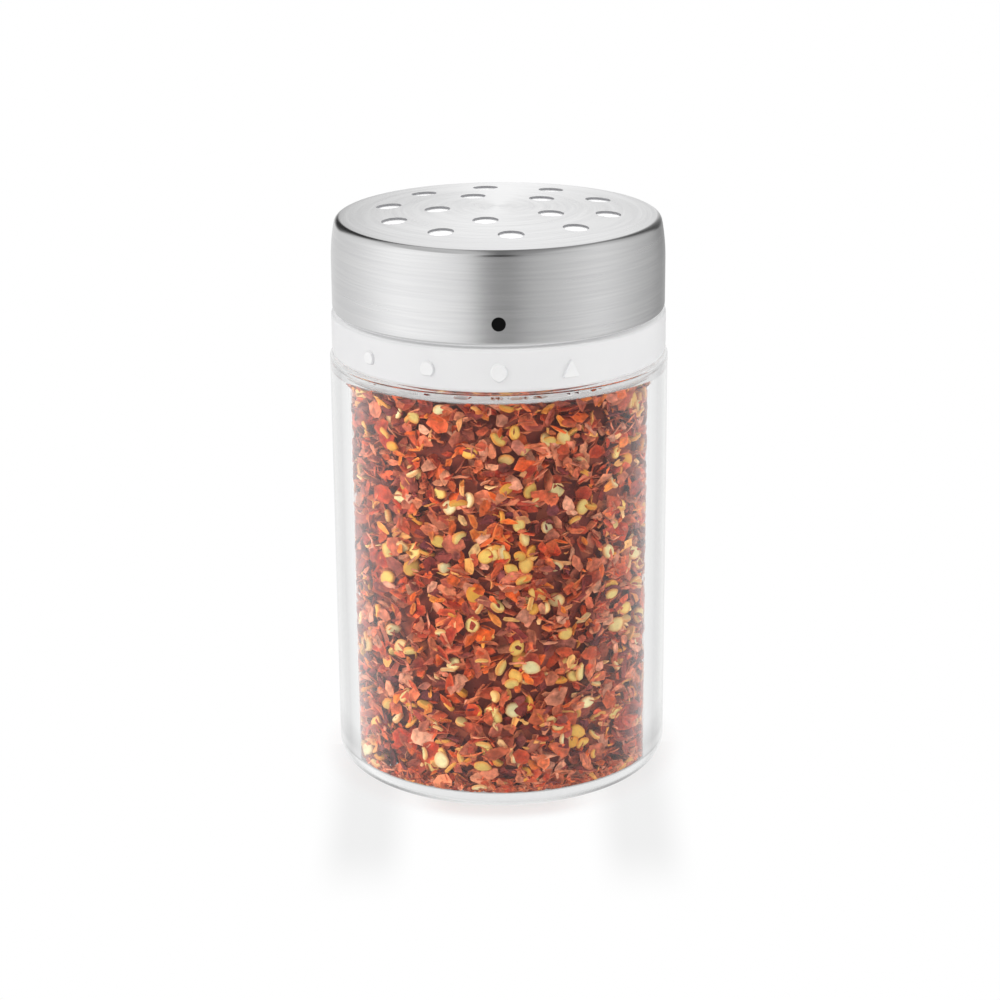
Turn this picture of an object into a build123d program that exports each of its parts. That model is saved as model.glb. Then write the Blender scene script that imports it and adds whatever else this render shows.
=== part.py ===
from build123d import *

import os
from math import cos, degrees, radians, sin, sqrt

# Spice jar: a glass jar with a white screw collar and a steel shaker cap that turns on it.
# Millimetres, +Z up. The origin is the middle of the foot, on the surface the jar stands on.
# The front, where the cap's index dot sits, faces -Y. Angles run from the front towards +X.

# Whole jar
overall_height = 102.1
jar_radius = 30.0
fit_clearance = 0.1
running_gap = 0.2
overrun = 5.0

# Glass
glass_wall = 3.4
glass_floor = 2.2
heel_rounding = 3.3
floor_rounding = 0.6
foot_ring_width = 7.4
push_up_rise = 1.1
shoulder_rounding = 0.4
shoulder_glass = 2.0
shoulder_slope_rise = 0.4
shoulder_inner_rounding = 1.8
throat_rounding = 1.5
shoulder_width = 6.25
neck_wall = 3.0
neck_height = 11.7
neck_root_rounding = 1.0
rim_rounding = 0.8

# Chili flakes in the jar
flakes_gap = 0.3
flakes_above_shoulder = 0.6
clump_rows = 14
clump_columns = 34
clump_relief = 2.6
clump_hollow_share = 0.7
clump_row_share = 0.414
clump_column_share = 0.618
clump_sway_share = 0.4

# Rim gasket
gasket_thickness = 1.0
gasket_inner_overlap = 0.5
gasket_side_gap = 0.35
gasket_rounding = 0.25

# Screw collar
collar_set_back = 0.4
collar_above_shoulder = 0.2
collar_band_height = 7.5
collar_foot_rounding = 0.9
collar_top_rounding = 0.6
collar_band_wall = 1.4
thread_bore_gap = 1.5
hub_wall = 1.75
groove_wall = 1.65
groove_roof = 1.5
threaded_wall_lift = 0.8
groove_rib_count = 12
groove_rib_thickness = 1.0
groove_rib_lift = 2.2
flange_thickness = 1.6
flange_overhang = 0.25
drum_step = 1.0
drum_wall = 1.6
drum_height = 5.4
snap_rib_depth = 0.5
snap_rib_height = 0.8
snap_rib_height_share = 6 / 11

# Selector plate
plate_thickness = 1.75
plate_below_crown = 4.35
plate_overhang = 0.2
spigot_wall = 1.6
spigot_depth = 1.5
key_count = 3
key_width = 3.0
coarse_hole_radius = 1.7
fine_hole_radius = 0.9

# Shaker cap
cap_set_back = 0.2
sheet_thickness = 0.4
cap_corner_rounding = 1.3
wall_bow_height = 7.5
wall_bow_depth = 0.8
crown_rise = 1.6
hem_radius = 1.1
cap_hole_radius = 2.2
outer_ring_inset = 9.8
outer_ring_count = 10
outer_ring_first_angle = 6.5
inner_ring_share = 0.54082
inner_ring_count = 5
inner_ring_first_angle = -11.5

# Cap liner
liner_wall = 1.3
liner_corner_rounding = 0.6
spout_radius = 2.0
spout_wall = 0.8
bead_depth = 0.4
bead_height_share = 0.6

# Settings: the marks on the collar are one step apart, and the cap stops at the end ones
setting_step = 24.0
lowest_setting = -2
highest_setting = 1
fine_setting = -1
stop_angle = 180.0
stop_width = 3.0
stop_slack_angle = 0.5
stop_overlap = 0.7
stop_height_share = 2 / 3
detent_angle = 90.0
detent_rib_radius = 0.9
detent_notch_radius = 1.1
detent_notch_depth = 0.5

# Index dot
dot_radius = 1.2
dot_lift = 4.2
dot_proud = 0.05

# Heights
plate_top = overall_height - plate_below_crown
drum_top = plate_top - plate_thickness
flange_top = drum_top - drum_height
flange_bottom = flange_top - flange_thickness
rim_height = flange_bottom - gasket_thickness
shoulder_height = rim_height - neck_height
collar_bottom = shoulder_height + collar_above_shoulder
collar_top = collar_bottom + collar_band_height
snap_rib_bottom = collar_top + (flange_top - collar_top) * snap_rib_height_share
cap_bottom = collar_top + running_gap
liner_bottom = cap_bottom + hem_radius + fit_clearance
wall_bow_bottom = overall_height - crown_rise - wall_bow_height
bead_top = snap_rib_bottom - running_gap
bead_height = (bead_top - liner_bottom) * bead_height_share
stop_height = drum_height * stop_height_share
dot_height = cap_bottom + dot_lift

# Radii
push_up_radius = jar_radius - foot_ring_width
neck_radius = jar_radius - shoulder_width
collar_radius = jar_radius - collar_set_back
cap_radius = collar_radius - cap_set_back
outer_ring_radius = cap_radius - outer_ring_inset
inner_ring_radius = outer_ring_radius * inner_ring_share
jar_inner_radius = jar_radius - glass_wall
bore_radius = neck_radius - neck_wall
thread_bore_radius = neck_radius + thread_bore_gap
hub_radius = thread_bore_radius + hub_wall
drum_radius = hub_radius - drum_step
drum_inner_radius = drum_radius - drum_wall
plate_radius = drum_radius + plate_overhang
crown_sphere = (cap_radius**2 + crown_rise**2) / (2 * crown_rise)
wall_bow_radius = (wall_bow_height**2 + wall_bow_depth**2) / (2 * wall_bow_depth)
liner_inset = sheet_thickness + fit_clearance
skirt_inner_radius = cap_radius - liner_inset - liner_wall


def around(radius, angle):
    """The place at this radius and angle from the front, for a solid whose own X points outwards."""
    x, y = radius * sin(radians(angle)), -radius * cos(radians(angle))
    return Pos(x, y, 0) * Rot(Z=angle - 90)


def ring_of(solid, radius, count, first_angle):
    """Copies of a solid, evenly spaced on a circle."""
    return [around(radius, first_angle + 360 / count * i) * solid for i in range(count)]


def turned(*corners):
    """A solid turned about Z. Each corner of its section is (radius, height, rounding)."""
    points = [(radius, height) for radius, height, _ in corners]
    roundings = [rounding for _, _, rounding in corners]
    outline = FilletPolyline(*points, radius=roundings, close=True)
    return revolve(Plane.XZ * make_face(outline), Axis.Z)


def post(radius, low, high):
    """An upright round post between two heights."""
    return Pos(0, 0, low) * extrude(Circle(radius), high - low)


def lens(radius, rise):
    """A shallow spherical cap that stands on z = 0."""
    sphere = (radius**2 + rise**2) / (2 * rise)
    edges = RadiusArc((0, rise), (radius, 0), sphere) + Polyline((radius, 0), (0, 0), (0, rise))
    return revolve(Plane.XZ * make_face(edges), Axis.Z)


def cap_form(inset, bottom, corner, hem=0):
    """The cap's outside drawn in evenly by inset, as a solid block that ends at bottom."""
    radius = cap_radius - inset
    crown = Pos(0, overall_height - crown_sphere) * Circle(crown_sphere - inset)
    bow = Pos(cap_radius - wall_bow_radius, wall_bow_bottom) * Circle(wall_bow_radius - inset)
    lower = Pos(radius / 2, (bottom + wall_bow_bottom) / 2) * Rectangle(radius, wall_bow_bottom - bottom)
    whole = Pos(radius / 2, (bottom + overall_height) / 2) * Rectangle(radius, overall_height - bottom)
    section = whole & crown & (bow + lower)
    section = fillet(section.vertices().sort_by(Axis.Y)[-2], corner)
    if hem:
        section = fillet(section.vertices().group_by(Axis.X)[-1].sort_by(Axis.Y)[0], hem)
    return revolve(Plane.XZ * section, Axis.Z)


def hole_places(setting=0):
    """Where the cap's holes stand over the plate when the dot points at this setting."""
    turn = setting * setting_step
    rings = (
        (outer_ring_radius, outer_ring_count, outer_ring_first_angle),
        (inner_ring_radius, inner_ring_count, inner_ring_first_angle),
    )
    return [
        around(radius, first + turn + 360 / count * i)
        for radius, count, first in rings
        for i in range(count)
    ]


def glass_jar():
    """Thick straight wall, rounded heel and shoulder, and a neck for the screw collar."""
    ceiling_low = shoulder_height - shoulder_glass
    jar = turned(
        (0, 0, 0),
        (jar_radius, 0, heel_rounding),
        (jar_radius, shoulder_height, shoulder_rounding),
        (neck_radius, shoulder_height, neck_root_rounding),
        (neck_radius, rim_height, rim_rounding),
        (bore_radius, rim_height, rim_rounding),
        (bore_radius, ceiling_low + shoulder_slope_rise, throat_rounding),
        (jar_inner_radius, ceiling_low, shoulder_inner_rounding),
        (jar_inner_radius, glass_floor, floor_rounding),
        (0, glass_floor, 0),
    )
    push_up = lens(push_up_radius, push_up_rise)
    return jar + Pos(0, 0, glass_floor) * push_up - push_up


def clump_place(row, column):
    """Radius and angle of one corner of the flakes' clumps: every second corner is a hollow."""
    wander = (row * clump_row_share + column * clump_column_share) % 1
    hollow = (row + column) % 2
    depth = clump_hollow_share * hollow + (1 - clump_hollow_share) * wander
    angle = 360 / clump_columns * (column + clump_sway_share * (wander - 1 / 2))
    return jar_inner_radius - flakes_gap - clump_relief * depth, angle


def clump_section(row, height):
    """The flakes' outline at one height. The first and last rows lie within the jar's roundings."""
    points = []
    for column in range(clump_columns):
        radius, angle = clump_place(row, column)
        if row in (0, clump_rows):
            radius = jar_inner_radius - flakes_gap - shoulder_inner_rounding
        points.append((radius * sin(radians(angle)), -radius * cos(radians(angle))))
    return Pos(0, 0, height) * make_face(Polyline(*points, close=True))


def chili_flakes():
    """The flakes as one heap that fills the jar, with the main clumps that meet the glass."""
    bottom = glass_floor + flakes_gap
    top = shoulder_height - shoulder_glass - flakes_gap
    row_height = (top - bottom) / clump_rows
    sections = [clump_section(row, bottom + row_height * row) for row in range(clump_rows + 1)]
    neck_fill = post(bore_radius - flakes_gap, top, shoulder_height + flakes_above_shoulder)
    return loft(sections, ruled=True) + neck_fill - Pos(0, 0, bottom) * lens(push_up_radius, push_up_rise)


def rim_gasket():
    """A soft flat ring between the glass rim and the collar's flange."""
    inner = bore_radius + gasket_inner_overlap
    outer = thread_bore_radius - gasket_side_gap
    return turned(
        (inner, rim_height, gasket_rounding),
        (outer, rim_height, gasket_rounding),
        (outer, flange_bottom, gasket_rounding),
        (inner, flange_bottom, gasket_rounding),
    )


def collar_shell():
    """The collar's turned form: outer band, cored groove, threaded wall, flange and drum."""
    groove_inner = thread_bore_radius + groove_wall
    groove_outer = collar_radius - collar_band_wall
    groove_top = collar_top - groove_roof
    wall_foot = collar_bottom + threaded_wall_lift
    rib_radius = hub_radius + snap_rib_depth
    rib_top = snap_rib_bottom + snap_rib_height
    opening = bore_radius + flange_overhang
    return turned(
        (collar_radius, collar_bottom, collar_foot_rounding),
        (collar_radius, collar_top, collar_top_rounding),
        (hub_radius, collar_top, 0),
        (hub_radius, snap_rib_bottom, 0),
        (rib_radius, snap_rib_bottom, 0),
        (rib_radius, rib_top, 0),
        (hub_radius, rib_top + snap_rib_depth, 0),
        (hub_radius, flange_top, 0),
        (drum_radius, flange_top, 0),
        (drum_radius, drum_top, 0),
        (drum_inner_radius, drum_top, 0),
        (drum_inner_radius, flange_top, 0),
        (opening, flange_top, 0),
        (opening, flange_bottom, 0),
        (thread_bore_radius, flange_bottom, 0),
        (thread_bore_radius, wall_foot, 0),
        (groove_inner, wall_foot, 0),
        (groove_inner, groove_top, 0),
        (groove_outer, groove_top, 0),
        (groove_outer, collar_bottom, 0),
    )


def groove_ribs():
    """Thin webs across the groove, which keep the outer band round."""
    inner = thread_bore_radius + groove_wall - fit_clearance
    outer = collar_radius - collar_band_wall + fit_clearance
    low = collar_bottom + groove_rib_lift
    high = collar_top - groove_roof + fit_clearance
    rib = Pos(0, 0, (low + high) / 2) * Box(outer - inner, groove_rib_thickness, high - low)
    return ring_of(rib, (inner + outer) / 2, groove_rib_count, 0)


def stop_block(inner, outer, low):
    """A block that stands at a radius and stops the cap's turn."""
    block = Box(outer - inner, stop_width, stop_height)
    return Pos((inner + outer) / 2, 0, low + stop_height / 2) * block


def stop_radii():
    """How far out the drum's stops reach, and how far in the liner's lug reaches."""
    middle = (drum_radius + skirt_inner_radius) / 2
    return middle + stop_overlap / 2, middle - stop_overlap / 2


def collar_stops():
    """The two blocks on the drum between which the liner's lug travels."""
    stop_reach, lug_reach = stop_radii()
    block = stop_block(drum_radius - fit_clearance, stop_reach, flange_top)
    side_by_side = degrees(stop_width / lug_reach) + stop_slack_angle
    first = stop_angle + lowest_setting * setting_step - side_by_side
    last = stop_angle + highest_setting * setting_step + side_by_side
    return [around(0, angle) * block for angle in (first, last)]


def detent_notches():
    """Shallow upright notches in the drum, one for each setting."""
    notch = post(detent_notch_radius, flange_top + stop_height, drum_top + overrun)
    centre = drum_radius + detent_notch_radius - detent_notch_depth
    settings = range(lowest_setting, highest_setting + 1)
    return [around(centre, detent_angle + setting * setting_step) * notch for setting in settings]


def key_block(width, radius, low, high):
    """An upright key that crosses the drum's wall."""
    inner = drum_inner_radius - spigot_wall / 2
    block = Box(radius - inner, width, high - low)
    return Pos((radius + inner) / 2, 0, (low + high) / 2) * block


def threaded_collar():
    """Screws onto the neck. Its hub holds the cap, and its drum carries the selector plate."""
    slot_width = key_width + 2 * fit_clearance
    slot = key_block(slot_width, drum_radius + overrun, drum_top - spigot_depth, drum_top + overrun)
    collar = collar_shell() + groove_ribs() + collar_stops()
    return collar - detent_notches() - ring_of(slot, 0, key_count, 0)


def selector_plate():
    """A flat plate with a coarse and a fine set of holes, keyed into the top of the drum."""
    spigot_radius = drum_inner_radius - fit_clearance
    key_foot = drum_top - spigot_depth + fit_clearance
    plate = turned(
        (0, drum_top, 0),
        (spigot_radius - spigot_wall, drum_top, 0),
        (spigot_radius - spigot_wall, key_foot, 0),
        (spigot_radius, key_foot, 0),
        (spigot_radius, drum_top, 0),
        (plate_radius, drum_top, 0),
        (plate_radius, plate_top, 0),
        (0, plate_top, 0),
    )
    key = key_block(key_width, drum_radius, key_foot, plate_top)
    coarse = post(coarse_hole_radius, drum_top - overrun, plate_top + overrun)
    fine = post(fine_hole_radius, drum_top - overrun, plate_top + overrun)
    plate += ring_of(key, 0, key_count, 0)
    plate -= [place * coarse for place in hole_places()]
    return plate - [place * fine for place in hole_places(fine_setting)]


def steel_cap():
    """A thin drawn cup with a crowned top, a hem turned in at its foot and fifteen holes."""
    outside = cap_form(0, cap_bottom, cap_corner_rounding, hem_radius)
    inner_corner = cap_corner_rounding - sheet_thickness
    inner_hem = hem_radius - sheet_thickness
    inside = cap_form(sheet_thickness, cap_bottom + sheet_thickness, inner_corner, inner_hem)
    mouth = post(cap_radius - hem_radius, cap_bottom - overrun, cap_bottom + hem_radius)
    hole = post(cap_hole_radius, plate_top, overall_height + overrun)
    dot_hole = Pos(0, -cap_radius, dot_height) * Rot(X=90) * Cylinder(
        dot_radius + fit_clearance, 2 * (cap_radius - skirt_inner_radius)
    )
    return outside - inside - mouth - [place * hole for place in hole_places()] - dot_hole


def snap_bead():
    """The bead inside the liner's foot that snaps under the rib on the collar's hub."""
    inner = skirt_inner_radius - bead_depth
    outer = skirt_inner_radius + fit_clearance
    low = bead_top - bead_height
    return turned(
        (inner, bead_top, 0),
        (outer, bead_top, 0),
        (outer, low, 0),
        (inner, low + bead_depth, 0),
    )


def detent_rib():
    """An upright rib inside the skirt with a round nose that faces the drum's notches."""
    low = flange_top + stop_height
    nose = drum_radius + running_gap + detent_rib_radius
    back = skirt_inner_radius + fit_clearance
    web = Box(back - nose, 2 * detent_rib_radius, plate_top - low)
    rib = Pos(nose, 0, 0) * post(detent_rib_radius, low, plate_top)
    rib += Pos((nose + back) / 2, 0, (low + plate_top) / 2) * web
    return rib & post(back, low, plate_top)


def cap_liner():
    """A moulded lining of the steel cap whose short spouts reach down to the selector plate."""
    outside = cap_form(liner_inset, liner_bottom, cap_corner_rounding - liner_inset)
    hollow = cap_form(liner_inset + liner_wall, liner_bottom - overrun, liner_corner_rounding)
    spout = post(spout_radius + spout_wall, plate_top + running_gap, overall_height)
    bore = post(spout_radius, plate_top, overall_height + overrun)
    lug_reach = stop_radii()[1]
    lug = stop_block(lug_reach, skirt_inner_radius + fit_clearance, flange_top)
    liner = outside - (hollow - [place * spout for place in hole_places()])
    liner += [snap_bead(), around(0, stop_angle) * lug, around(0, detent_angle) * detent_rib()]
    return liner - [place * bore for place in hole_places()]


def index_dot():
    """A small round plug in the front of the cap that points at the chosen setting."""
    behind = cap_radius - liner_inset + fit_clearance / 2
    length = 2 * (cap_radius - skirt_inner_radius)
    plug = Pos(0, -cap_radius, dot_height) * Rot(X=90) * Cylinder(dot_radius, length)
    shell = post(cap_radius + dot_proud, cap_bottom, plate_top) - post(behind, cap_bottom, plate_top)
    return plug & shell


parts = {
    "glass_jar": glass_jar,
    "chili_flakes": chili_flakes,
    "rim_gasket": rim_gasket,
    "threaded_collar": threaded_collar,
    "selector_plate": selector_plate,
    "steel_cap": steel_cap,
    "cap_liner": cap_liner,
    "index_dot": index_dot,
}

os.makedirs("parts", exist_ok=True)
for name, make in parts.items():
    export_step(make(), f"parts/{name}.step")
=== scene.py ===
"""Looks of the spice jar: glass, chili flakes, white collar and brushed steel shaker cap."""
from math import atan2, ceil, cos, hypot, pi, radians, sin, sqrt, tan

import bmesh
import bpy
import numpy as np
from mathutils import Matrix, Vector, geometry


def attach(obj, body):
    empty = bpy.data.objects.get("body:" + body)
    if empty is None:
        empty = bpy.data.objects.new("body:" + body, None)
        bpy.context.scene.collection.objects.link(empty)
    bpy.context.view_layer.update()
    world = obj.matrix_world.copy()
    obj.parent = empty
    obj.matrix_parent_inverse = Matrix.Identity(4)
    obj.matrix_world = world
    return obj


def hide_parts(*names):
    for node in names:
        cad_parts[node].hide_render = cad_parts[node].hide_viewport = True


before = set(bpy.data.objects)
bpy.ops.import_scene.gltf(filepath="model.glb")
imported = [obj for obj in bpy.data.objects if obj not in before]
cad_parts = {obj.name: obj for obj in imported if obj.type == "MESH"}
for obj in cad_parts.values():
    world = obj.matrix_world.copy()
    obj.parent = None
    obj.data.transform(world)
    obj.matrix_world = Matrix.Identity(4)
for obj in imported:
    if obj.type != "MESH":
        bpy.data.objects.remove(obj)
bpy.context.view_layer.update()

# Sizes are in millimetres, as in the CAD model, and MM turns them into Blender's metres. The lamps,
# and the noise scales and bump heights of the materials, are in metres.
MM = 0.001
SEGMENTS = 192
DOME_STEPS = 16
GLASS_BOUNCES = 24
ARC_STEP = radians(9)
SHARP_ANGLE = radians(32)

# Camera, fitted to the jar's outlines and the cap's holes
CAMERA_DISTANCE = 476.7
CAMERA_ELEVATION = radians(18.447)
CAMERA_AIM_HEIGHT = 47.89
CAMERA_ROLL = radians(-0.441)
CAMERA_LENS = 94.58
SENSOR_WIDTH = 36

# Glass
JAR_RADIUS, GLASS_WALL, GLASS_FLOOR = 30.0, 3.4, 2.2
HEEL_ROUNDING, FLOOR_ROUNDING = 3.3, 0.6
PUSH_UP_RADIUS, PUSH_UP_RISE = 22.6, 1.1
SHOULDER_HEIGHT, SHOULDER_ROUNDING, SHOULDER_GLASS, SHOULDER_SLOPE = 76.3, 0.4, 2.0, 0.4
SHOULDER_INNER_ROUNDING, THROAT_ROUNDING = 1.8, 1.5
NECK_RADIUS, BORE_RADIUS, RIM_HEIGHT = 23.75, 20.75, 88.0
NECK_ROOT_ROUNDING, RIM_ROUNDING = 1.0, 0.8
GLASS_TINT = (0.968, 0.974, 0.972, 1)
# Light that glass pipes round inside itself is taken as the room's own, shown as a painted glow. It
# has a share and a level on the wall and at the heel, which pass into each other between two heights.
PIPED_SHARE, PIPED_LEVEL, HEEL_REACH = (0.35, 0.6), (0.75, 0.9), (1.2, 4.0)
# A painted dark line runs round the heel outside a radius: painted shadow and painted reflection.
# It is faint at the front, full some way aside, and shaded by height as a share of its reach.
PAINTED_HEEL_RADIUS, PAINTED_HEEL_ASIDE, PAINTED_HEEL_FAINT, PAINTED_HEEL_REACH = 27.2, (6, 22), 0.2, 4.0
PAINTED_HEEL_SHADE = ((0.0, 0.12), (0.06, 0.05), (0.12, 0.03), (0.3, 0.03), (0.42, 0.3), (0.6, 1.0))

# Two-start screw thread. Its ends fade over a share of a turn, and its flanks take up a share of
# its half width.
THREAD_LEAD, THREAD_STARTS = 8.4, 2
THREAD_FADE, THREAD_FLANK = 0.12, 0.55
THREAD_ROW_STEP = 0.3
# Each thread runs between two heights and has its half width and how far it stands out. The
# collar's stands inwards and runs midway between the turns of the neck's.
NECK_THREAD, COLLAR_THREAD = (78.2, 86.0, 1.05, 1.2), (78.6, 86.8, 0.9, -1.15)
COLLAR_THREAD_SHIFT = THREAD_LEAD / THREAD_STARTS / 2 + NECK_THREAD[0] - COLLAR_THREAD[0]

# Collar
COLLAR_RADIUS, COLLAR_BOTTOM, COLLAR_TOP = 29.6, 76.5, 84.0
COLLAR_FOOT_ROUNDING, COLLAR_TOP_ROUNDING = 0.9, 0.6
THREAD_BORE_RADIUS, HUB_RADIUS = 25.25, 27.0
GROOVE_INNER, GROOVE_OUTER, GROOVE_TOP, WALL_FOOT = 26.9, 28.2, 82.5, 77.3
SNAP_RIB_RADIUS, SNAP_RIB_LOW, SNAP_RIB_HIGH = 27.5, 87.6, 88.4
FLANGE_LOW, FLANGE_HIGH, FLANGE_OPENING = 89.0, 90.6, 21.0
DRUM_RADIUS, DRUM_INNER, DRUM_TOP = 26.0, 24.4, 96.0
MARK_HEIGHT, MARK_CENTRE, MARK_PITCH = 0.4, 80.2, radians(24)
MARK_BEVEL, MARK_SINK = 0.2, 0.1
MARK_SEGMENTS = 40
# Each disc has its step along the band, its width, its reach below the middle, where it is cut flat,
# and how far its foot droops to a point
MARK_DISCS, MARK_TALLNESS = ((-2, 2.4, 1.1, 0), (-1, 2.7, 1.15, 0), (0, 2.9, 2.0, 0.15)), 1.08
# The triangle has its step, half width, foot, tip and the rounding of its corners
MARK_TRIANGLE = (1, 1.6, -1.6, 1.75, 0.22)
# Painted glow of white plastic above a height: where that sets in, where it is full, and its strength
COLLAR_PAINTED_GLOW = (COLLAR_TOP - 0.15, COLLAR_TOP, 0.15)
SPOUT_PAINTED_GLOW = (DRUM_TOP - 1, DRUM_TOP, 0.28)

# Cap
CAP_RADIUS, CAP_BOTTOM, CAP_TOP, CROWN_RISE = 29.4, 84.2, 102.1, 1.6
CAP_FOLD, SHEET, HEM, HEM_EASE = 1.3, 0.4, 1.1, 0.05
WALL_BOW_LOW, WALL_BOW_HEIGHT, WALL_BOW_DEPTH = 93.0, 7.5, 0.8
CROWN_SPHERE = (CAP_RADIUS**2 + CROWN_RISE**2) / (2 * CROWN_RISE)
WALL_BOW_RADIUS = (WALL_BOW_HEIGHT**2 + WALL_BOW_DEPTH**2) / (2 * WALL_BOW_DEPTH)
FOLD_STEPS = 10
# The fold is polished: how far its surface faces up where that sets in and where it ends, and how
# much roughness is left
FOLD_FOOT, FOLD_EDGE, FOLD_POLISH = (0.2, 0.32), (0.995, 0.975), 0.6
# Brush lines and broader bands per metre, and how fast the lines change round the cap
BRUSH_LINES, BRUSH_BANDS, BRUSH_CHANGE = 2600.0, 900.0, 1.6
HOLE_RADIUS, HOLE_BEVEL, HOLE_SEGMENTS = 2.2, 0.07, 36
# A band of points runs round each hole, and the crown's other points keep clear of it
HOLE_BAND, HOLE_CLEAR, INSIDE_HOLE = 0.35, 0.8, 0.98
OUTER_RING, OUTER_COUNT, OUTER_FIRST = 19.6, 10, radians(6.5)
INNER_RING, INNER_COUNT, INNER_FIRST = 10.6, 5, radians(-11.5)
CROWN_GRID, WELD = 1.1, 0.001

# Chili
SEED, QUICK_SHARE = 4890, 0.25
FILL_HEIGHT, HEAP = 76.6, 0.8
GLASS_GAP = 0.1
# The shares of the flakes that lie along the floor and the top, how far out they reach, and how
# evenly: 0.5 is even over the disc, and less crowds them to its rim
FLOOR_SHARE, FLOOR_SPREAD, FLOOR_EVENNESS = 0.17, JAR_RADIUS - GLASS_WALL - 0.2, 0.3
TOP_SHARE, TOP_SPREAD, TOP_EVENNESS = 0.08, BORE_RADIUS, 0.5
LOWEST_FLAKE = GLASS_FLOOR + 0.3
# What would pass through the glass is pressed flat within these depths
FLAT_GIVE, WALL_GIVE = 0.4, 0.5
SEED_RINGS = (0.5, 0.82, 1.0)
CORE_DEPTH, CORE_FLOOR = 2.2, 1.3


def srgb(red, green, blue):
    """A colour named in 0-255 screen values, as linear RGBA."""
    channels = [c / 255 for c in (red, green, blue)]
    linear = [c / 12.92 if c <= 0.04045 else ((c + 0.055) / 1.055) ** 2.4 for c in channels]
    return (*linear, 1.0)


def grey(level):
    """A grey of this brightness, as linear RGBA."""
    return (level, level, level, 1)


def metres(*sizes):
    """Millimetres as Blender's metres."""
    return [size * MM for size in sizes]


def add_object(name, data):
    thing = bpy.data.objects.new(name, data)
    bpy.context.scene.collection.objects.link(thing)
    return thing


# Camera

def make_camera():
    data = bpy.data.cameras.new("camera")
    data.lens, data.sensor_width = CAMERA_LENS, SENSOR_WIDTH
    data.clip_start, data.clip_end = 0.01, 50
    back = Vector((0, -cos(CAMERA_ELEVATION), sin(CAMERA_ELEVATION)))
    right = Vector((1, 0, 0))
    up = back.cross(right)
    tilted_right = right * cos(CAMERA_ROLL) + up * sin(CAMERA_ROLL)
    tilted_up = up * cos(CAMERA_ROLL) - right * sin(CAMERA_ROLL)
    camera = add_object("camera", data)
    turn = Matrix((tilted_right, tilted_up, back)).transposed().to_4x4()
    place = Vector((0, 0, CAMERA_AIM_HEIGHT)) * MM + back * CAMERA_DISTANCE * MM
    camera.matrix_world = Matrix.Translation(place) @ turn
    bpy.context.scene.camera = camera


# Node helpers

class Nodes:
    """A short way to add and link the shader nodes of a material or world."""

    def __init__(self, owner):
        owner.use_nodes = True
        self.owner, self.tree = owner, owner.node_tree
        self.tree.nodes.clear()

    def add(self, kind, inputs=None, **settings):
        node = self.tree.nodes.new("ShaderNode" + kind)
        for name, value in settings.items():
            setattr(node, name, value)
        for key, value in (inputs or {}).items():
            if isinstance(value, bpy.types.NodeSocket):
                self.tree.links.new(value, node.inputs[key])
            else:
                node.inputs[key].default_value = value
        return node

    def math(self, operation, first, second=0.0):
        return self.add("Math", {0: first, 1: second}, operation=operation).outputs[0]

    def times(self, first, second):
        return self.math("MULTIPLY", first, second)

    def mix(self, share, first, second, blend="MIX"):
        inputs = {0: share, 6: first, 7: second}
        return self.add("Mix", inputs, data_type="RGBA", blend_type=blend).outputs[2]

    def ramp(self, share, stops):
        node = self.add("ValToRGB", {0: share})
        elements = node.color_ramp.elements
        while len(elements) < len(stops):
            elements.new(0.5)
        for element, (position, colour) in zip(elements, stops):
            element.position = position
            element.color = colour if isinstance(colour, tuple) else grey(colour)
        return node.outputs[0]

    def noise(self, vector, scale, detail=2.0, roughness=0.5):
        inputs = {"Vector": vector, "Scale": scale, "Detail": detail, "Roughness": roughness}
        return self.add("TexNoise", inputs).outputs[0]

    def map_range(self, value, low, high, to_low=0.0, to_high=1.0, smooth=False):
        kind = "SMOOTHSTEP" if smooth else "LINEAR"
        inputs = {0: value, 1: low, 2: high, 3: to_low, 4: to_high}
        return self.add("MapRange", inputs, interpolation_type=kind).outputs[0]

    def bump(self, height, distance, strength=1.0):
        inputs = {"Height": height, "Distance": distance, "Strength": strength}
        return self.add("Bump", inputs).outputs[0]

    def length(self, vector):
        return self.add("VectorMath", {0: vector}, operation="LENGTH").outputs["Value"]

    def split(self, vector):
        """The x, y and z of a vector."""
        return self.add("SeparateXYZ", {0: vector}).outputs

    def join(self, x, y, z):
        return self.add("CombineXYZ", {0: x, 1: y, 2: z}).outputs[0]

    def principled(self, inputs):
        return self.add("BsdfPrincipled", inputs).outputs[0]

    def emission(self, colour, level):
        return self.add("Emission", {0: colour, 1: level}).outputs[0]

    def blend(self, share, first, second):
        """One shader passing into another."""
        return self.add("MixShader", {0: share, 1: first, 2: second}).outputs[0]

    def output(self, shader):
        """Ends the tree with this shader and gives back the material or world."""
        kind = "OutputWorld" if isinstance(self.owner, bpy.types.World) else "OutputMaterial"
        self.add(kind, {0: shader})
        return self.owner


def new_material(name):
    """The node helper of a new material and the place on the piece, in metres."""
    n = Nodes(bpy.data.materials.new(name))
    return n, n.add("TexCoord").outputs["Object"]


# Mesh helpers

def rounded(corners):
    """Points along a section whose corners are (radius, height, rounding), arcs included."""
    points = []
    for i, (x, y, rounding) in enumerate(corners):
        here = Vector((x, y))
        if not rounding:
            points.append((x, y))
            continue
        before = (Vector(corners[i - 1][:2]) - here).normalized()
        after = (Vector(corners[i + 1][:2]) - here).normalized()
        half = before.angle(after) / 2
        start = here + before * rounding / tan(half)
        middle = here + (before + after).normalized() * rounding / sin(half)
        sweep = pi - 2 * half
        turn = -1 if before.x * after.y - before.y * after.x > 0 else 1
        arm = start - middle
        count = max(2, ceil(sweep / ARC_STEP))
        for k in range(count + 1):
            a = turn * sweep * k / count
            points.append((middle.x + arm.x * cos(a) - arm.y * sin(a),
                           middle.y + arm.x * sin(a) + arm.y * cos(a)))
    return points


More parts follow.
